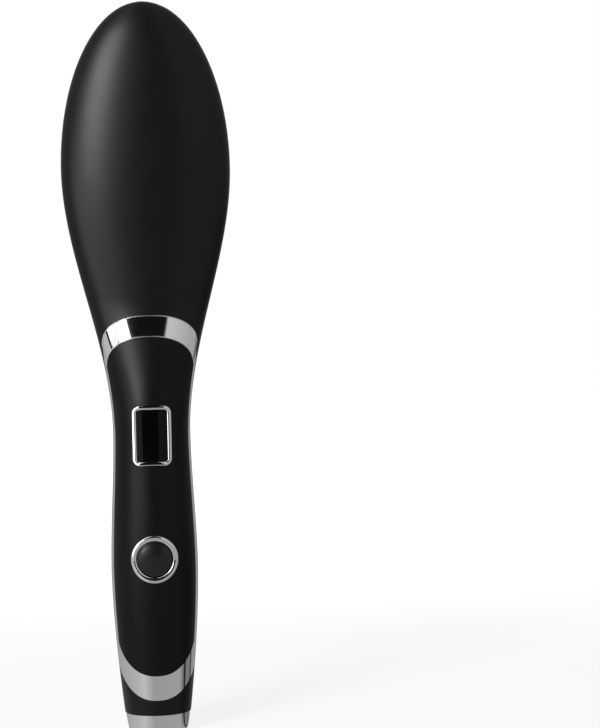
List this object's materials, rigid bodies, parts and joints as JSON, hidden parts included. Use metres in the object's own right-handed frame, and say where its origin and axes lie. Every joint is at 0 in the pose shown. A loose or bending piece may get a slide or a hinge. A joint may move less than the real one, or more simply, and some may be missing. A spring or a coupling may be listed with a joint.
{
  "type": "heated hair straightening brush",
  "caption": "Hand-held electric straightening brush with heated pins, a guard row of bristles, a display, a power button and a swivelling cord outlet",
  "frame": {"origin": "centre of the cord outlet on the lower face of the end cap, on the handle axis", "axes": "+Z from the cord end to the top of the head, +Y towards the bristles, -Y towards the display and button, +X across the head"},
  "size_m": [0.0628, 0.0527, 0.27],
  "materials": {
    "housing": "matte black moulded plastic with a fine even grain",
    "trim": "polished chrome-plated plastic",
    "lens": "glossy black window",
    "button": "satin black",
    "swivel": "black nylon",
    "contact_metal": "plain brass",
    "plate_frame": "semi-gloss black heat-proof plastic",
    "plate": "black ceramic coating on aluminium",
    "pins": "glossy black ceramic coating",
    "tips": "matte black cool tips",
    "bristles": "matte black nylon",
    "ceramic": "fired ceramic",
    "steel": "stamped steel",
    "insulation": "mica sheet",
    "screws": "zinc-plated steel",
    "component": "dipped component",
    "board": "green solder mask",
    "display": "light grey moulded display block",
    "chip": "black moulded package",
    "plunger": "red moulded plunger",
    "heater_wire": "glass-braided heat-proof lead",
    "mains_wire": "blue insulated wire"
  },
  "bodies": {
    "housing": {"front_shell": "housing", "rear_shell": "housing", "trim_frame": "trim", "control_panel": "housing", "display_bezel": "trim", "display_lens": "lens", "button_ring": "trim", "end_cap": "trim", "swivel_clip": "contact_metal", "plate_frame": "plate_frame", "heating_plate": "plate", "heated_pins": "pins", "pin_tips": "tips", "outer_bristles": "bristles", "neck_tongue": "housing", "heater": "ceramic", "heater_clamp": "steel", "heater_insulation": "insulation", "clamp_screws": "screws", "thermal_fuse": "steel", "thermistor": "component", "main_board": "board", "board_screws": "screws", "display_module": "display", "control_chip": "chip", "supply_capacitor": "component", "filter_capacitor": "component", "triac": "chip", "tact_switch": "chip", "housing_screws": "screws", "heater_leads": "heater_wire", "mains_leads": "mains_wire"},
    "button": {"power_button": "button"},
    "plunger": {"switch_plunger": "plunger"},
    "swivel": {"cord_swivel": "swivel"}
  },
  "joints": [
    {"name": "button_press", "type": "slide", "parent": "housing", "child": "button", "axis": [0, 1, 0], "range_m": [0, 0.0006], "stiffness_N_per_m": 2500},
    {"name": "plunger_press", "type": "slide", "parent": "housing", "child": "plunger", "axis": [0, 1, 0], "range_m": [0, 0.0006], "stiffness_N_per_m": 200},
    {"name": "cord_turn", "type": "hinge", "parent": "housing", "child": "swivel", "pos_m": [0, 0, 0.0045], "axis": [0, 0, 1], "continuous": true}
  ],
  "couplings": [
    {"joint": "plunger_press", "follows": "button_press", "ratio": 1}
  ]
}
